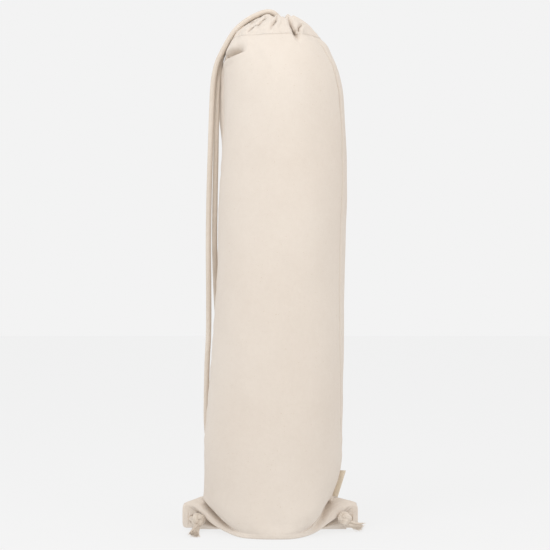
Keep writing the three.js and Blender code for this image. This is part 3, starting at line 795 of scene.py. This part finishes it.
def addStrap(name):
    place = strapPlaces[name]
    low, high, holeCentre, foldLine = place["low"], place["high"], place["hole"], place["fold"]
    angles = np.linspace(0, 2 * math.pi, strap["sides"], endpoint=False)
    middle = (np.array(low) + np.array(high)) / 2
    half = (np.array(high) - np.array(low)) / 2
    cosines, sines = np.cos(angles), np.sin(angles)
    square = strap["squareness"]
    rim = np.stack([middle[0] + half[0] * np.sign(cosines) * np.abs(cosines) ** square,
                    middle[1] + half[1] * np.sign(sines) * np.abs(sines) ** square], axis=-1)
    hole = np.stack([cosines, sines], axis=-1) * strap["hole"] + np.array(holeCentre)
    t = np.linspace(0, 1, strap["rings"])[:, None, None]
    flat = hole * (1 - t) + rim * t
    edge = np.minimum(t[..., 0], 1 - t[..., 0]) * strap["rings"] / 2.2
    thick = strap["thickness"] / 2 * np.clip(edge, 0.05, 1) ** 0.5
    fold = np.exp(-((flat[..., 0] - foldLine) / 0.9) ** 2)
    fold *= smoothStep(flat[..., 1], low[1] + 1, low[1] + 5) * (1 - smoothStep(flat[..., 1], 20, 26))
    thick = thick * (1 - 0.75 * fold)
    outward = (flat[..., 0] - foldLine) * place["outside"]
    lean = strap["lean"] + 0.5 * np.sin(flat[..., 1] * 0.22 + flat[..., 0] * 0.1)
    lean = lean + 0.7 * smoothStep(outward, 0, 7)
    front = np.stack([flat[..., 0], lean - thick, flat[..., 1]], axis=-1)
    back = np.stack([flat[..., 0], lean + thick, flat[..., 1]], axis=-1)
    uv = flat.reshape(-1, 2) * mm
    piece = shell(name, front, back, uv, wrap=True)
    faceOutwards(piece)
    return piece


leftStrap = addStrap("cornerStrapLeft")
rightStrap = addStrap("cornerStrapRight")
print("straps made")


# the side tab: a short piece of folded tape sewn in the seam
tab = {
    "thickness": 1.3,
    "rootTop": (81.6, -0.6, 75.5),
    "rootLow": (72.8, -0.8, 43.2),
    "foldTop": (90.0, -2.2, 75.2),
    "foldLow": (79.4, -2.6, 41.2),
}


def addTab():
    across, down = 12, 36
    s = np.linspace(0, 1, across)[None, :, None]
    t = np.linspace(0, 1, down)[:, None, None]
    root = np.array(tab["rootTop"]) * (1 - t) + np.array(tab["rootLow"]) * t
    fold = np.array(tab["foldTop"]) * (1 - t) + np.array(tab["foldLow"]) * t
    points = root * (1 - s) + fold * s
    points[..., 1] -= np.sin(np.pi * s[..., 0]) * 0.5 + 0.5 * np.sin(t[..., 0] * 3.1 + 0.4)
    front = points.copy()
    back = points.copy()
    edge = np.clip((1 - s[..., 0]) * 5, 0.05, 1) ** 0.5 + 0 * t[..., 0]
    front[..., 1] -= tab["thickness"] / 2 * edge
    back[..., 1] += tab["thickness"] / 2 * edge
    length, width = np.linspace(0, 0.033, down), np.linspace(0, 0.009, across)
    uv = np.stack(np.meshgrid(length, width, indexing="ij"), axis=-1)
    piece = shell("sideTab", front, back, uv.reshape(-1, 2))
    faceOutwards(piece)
    return piece


sideTab = addTab()
print("tab made")


# stitches: one short thread copied along a line of the cloth
stitch = {
    "length": 2.6,
    "gap": 0.9,
    "radius": 0.32,
    "sides": 6,
}


def addStitches(name, line, normals):
    # line and normals in mm along the sewn row
    along = np.concatenate([[0], np.cumsum(np.linalg.norm(np.diff(line, axis=0), axis=1))])
    step = stitch["length"] + stitch["gap"]
    lines = []
    for i in range(int(along[-1] / step)):
        places = np.linspace(i * step, i * step + stitch["length"], 5)
        path = np.stack([np.interp(places, along, line[:, k]) for k in range(3)], axis=1)
        lift = np.stack([np.interp(places, along, normals[:, k]) for k in range(3)], axis=1)
        height = np.array([-0.25, 0.22, 0.3, 0.22, -0.25])
        lines.append((path + lift * height[:, None], np.full(5, stitch["radius"])))
    return thinYarns(name, lines, stitch["sides"])


stitchRow = 1
hemStitches = addStitches("hemStitches", np.concatenate([hemPoints[stitchRow], hemPoints[stitchRow][:1]]),
                          np.concatenate([hemNormals[stitchRow], hemNormals[stitchRow][:1]]))
print("stitches made")


# materials
def emptyMaterial(name):
    mat = bpy.data.materials.new(name)
    mat.use_nodes = True
    mat.node_tree.nodes.clear()
    return mat, mat.node_tree


def addNode(tree, kind, sockets=None, **settings):
    node = tree.nodes.new(kind)
    for key, value in settings.items():
        setattr(node, key, value)
    for key, value in (sockets or {}).items():
        node.inputs[key].default_value = value
    return node


def clothMaterial(name, light, dark, threadScale, weaveStrength, fleckColour):
    mat, tree = emptyMaterial(name)
    link = tree.links.new
    out = addNode(tree, "ShaderNodeOutputMaterial")
    shader = addNode(tree, "ShaderNodeBsdfPrincipled", {
        "Roughness": 0.93, "Specular IOR Level": 0.15, "Sheen Weight": 0.12, "Sheen Roughness": 0.6})
    uv = addNode(tree, "ShaderNodeUVMap", uv_map="cloth")
    place = addNode(tree, "ShaderNodeTexCoord")
    threadSockets = {"Scale": threadScale, "Distortion": 1.4, "Detail": 2.0, "Detail Scale": 0.6}
    warp = addNode(tree, "ShaderNodeTexWave", threadSockets, wave_type="BANDS", bands_direction="X")
    weft = addNode(tree, "ShaderNodeTexWave", threadSockets, wave_type="BANDS", bands_direction="Y")
    link(uv.outputs["UV"], warp.inputs["Vector"])
    link(uv.outputs["UV"], weft.inputs["Vector"])
    weave = addNode(tree, "ShaderNodeMath", operation="MULTIPLY")
    link(warp.outputs["Fac"], weave.inputs[0])
    link(weft.outputs["Fac"], weave.inputs[1])
    slub = addNode(tree, "ShaderNodeTexNoise", {"Scale": 160.0, "Detail": 6.0, "Roughness": 0.6})
    link(place.outputs["Object"], slub.inputs["Vector"])
    broad = addNode(tree, "ShaderNodeTexNoise", {"Scale": 9.0, "Detail": 3.0})
    link(place.outputs["Object"], broad.inputs["Vector"])
    tone = addNode(tree, "ShaderNodeMath", {1: 0.5}, operation="MULTIPLY_ADD")
    link(slub.outputs["Fac"], tone.inputs[0])
    link(broad.outputs["Fac"], tone.inputs[2])
    ramp = addNode(tree, "ShaderNodeValToRGB")
    ramp.color_ramp.elements[0].position = 0.5
    ramp.color_ramp.elements[0].color = (*dark, 1)
    ramp.color_ramp.elements[1].position = 0.95
    ramp.color_ramp.elements[1].color = (*light, 1)
    link(tone.outputs[0], ramp.inputs["Fac"])
    threads = addNode(tree, "ShaderNodeMix", {0: 0.1}, data_type="RGBA", blend_type="MULTIPLY")
    link(ramp.outputs["Color"], threads.inputs[6])
    link(weave.outputs[0], threads.inputs[7])
    fleckNoise = addNode(tree, "ShaderNodeTexNoise", {"Scale": 620.0, "Detail": 2.0})
    link(place.outputs["Object"], fleckNoise.inputs["Vector"])
    fleckRamp = addNode(tree, "ShaderNodeValToRGB")
    fleckRamp.color_ramp.elements[0].position = 0.70
    fleckRamp.color_ramp.elements[0].color = (0, 0, 0, 1)
    fleckRamp.color_ramp.elements[1].position = 0.76
    fleckRamp.color_ramp.elements[1].color = (0.55, 0.55, 0.55, 1)
    link(fleckNoise.outputs["Fac"], fleckRamp.inputs["Fac"])
    flecks = addNode(tree, "ShaderNodeMix", {7: (*fleckColour, 1)}, data_type="RGBA")
    link(fleckRamp.outputs["Color"], flecks.inputs[0])
    link(threads.outputs[2], flecks.inputs[6])
    link(flecks.outputs[2], shader.inputs["Base Color"])
    bumpWeave = addNode(tree, "ShaderNodeBump", {"Strength": weaveStrength, "Distance": 0.0003})
    link(weave.outputs[0], bumpWeave.inputs["Height"])
    bumpSlub = addNode(tree, "ShaderNodeBump", {"Strength": 0.22, "Distance": 0.0009})
    link(slub.outputs["Fac"], bumpSlub.inputs["Height"])
    link(bumpWeave.outputs["Normal"], bumpSlub.inputs["Normal"])
    link(bumpSlub.outputs["Normal"], shader.inputs["Normal"])
    link(shader.outputs["BSDF"], out.inputs["Surface"])
    return mat


# lighter and darker tone, threads' scale, weave's strength and the flecks' colour
canvasLook = clothMaterial(
    "undyedCanvas", (0.805, 0.722, 0.637), (0.765, 0.675, 0.588), 560, 0.4, (0.5, 0.36, 0.22))
cordLook = clothMaterial(
    "cottonBraid", (0.815, 0.725, 0.63), (0.715, 0.62, 0.52), 700, 0.3, (0.55, 0.42, 0.28))
tapeLook = clothMaterial(
    "bareTape", (0.80, 0.70, 0.57), (0.72, 0.61, 0.46), 800, 0.35, (0.5, 0.36, 0.2))
threadLook = clothMaterial(
    "sewingThread", (0.86, 0.80, 0.73), (0.80, 0.73, 0.65), 900, 0.2, (0.7, 0.6, 0.5))


def dress(piece, look, slot, *nodes):
    piece.data.materials.clear()
    piece.data.materials.append(look)
    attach(piece, "root")
    if nodes:
        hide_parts(*nodes)


dress(frontPanel, canvasLook, "canvas", "front_panel")
dress(backPanel, canvasLook, "canvas", "back_panel")
dress(gatheredHem, canvasLook, "canvas", "drawstring_casing")
dress(leftStrap, canvasLook, "canvas", "corner_loop_left")
dress(rightStrap, canvasLook, "canvas", "corner_loop_right")
dress(sideTab, tapeLook, "tab_tape", "side_tab")
dress(leftKnot, cordLook, "cotton_cord", "knot_left")
dress(rightKnot, cordLook, "cotton_cord", "knot_right")
dress(leftStrand, cordLook, "cotton_cord", "strand_left")
dress(rightStrand, cordLook, "cotton_cord", "strand_right")
dress(hemStitches, threadLook, "canvas")
print("materials set")


# floor, light and backdrop
studio = {
    "floorGlow": 0.75,  # the seamless paper's own even light
    "floorTone": 0.14,
    "keyPower": 10.4,
    "keyColour": (0.97, 0.985, 1.0),
    "fillPower": 6.4,
    "fillColour": (1.0, 0.93, 0.87),
    "worldTone": 0.896,
    "worldStrength": 1.0,
}


def addStudio():
    scene = bpy.context.scene
    scene.view_settings.view_transform = "Standard"
    world = bpy.data.worlds.new("studioWorld")
    scene.world = world
    world.use_nodes = True
    background = world.node_tree.nodes["Background"]
    tone = studio["worldTone"]
    background.inputs["Color"].default_value = (tone, tone, tone, 1)
    background.inputs["Strength"].default_value = studio["worldStrength"]
    bpy.ops.object.select_all(action="DESELECT")
    bpy.ops.mesh.primitive_plane_add(size=14, location=(0, 0, 0))
    floor = bpy.context.object
    floor.name = "studioFloor"
    mat, tree = emptyMaterial("palePaper")
    out = addNode(tree, "ShaderNodeOutputMaterial")
    tone = studio["floorTone"]
    shader = addNode(tree, "ShaderNodeBsdfPrincipled", {
        "Base Color": (tone, tone, tone, 1), "Roughness": 0.95, "Specular IOR Level": 0.0,
        "Emission Color": (1, 1, 1, 1), "Emission Strength": studio["floorGlow"]})
    tree.links.new(shader.outputs["BSDF"], out.inputs["Surface"])
    floor.data.materials.append(mat)
    for name, place, size in (("key", (-0.55, -1.2, 1.55), 1.0), ("fill", (1.4, -1.6, 1.2), 1.4)):
        data = bpy.data.lights.new(name + "Light", "AREA")
        data.energy = studio[name + "Power"]
        data.color = studio[name + "Colour"]
        data.size = size
        lamp = bpy.data.objects.new(name + "Light", data)
        bpy.context.scene.collection.objects.link(lamp)
        lamp.location = place
        aim = Vector((0, 0, 0.33)) - Vector(place)
        lamp.rotation_euler = aim.to_track_quat("-Z", "Y").to_euler()


addStudio()
print("studio set")
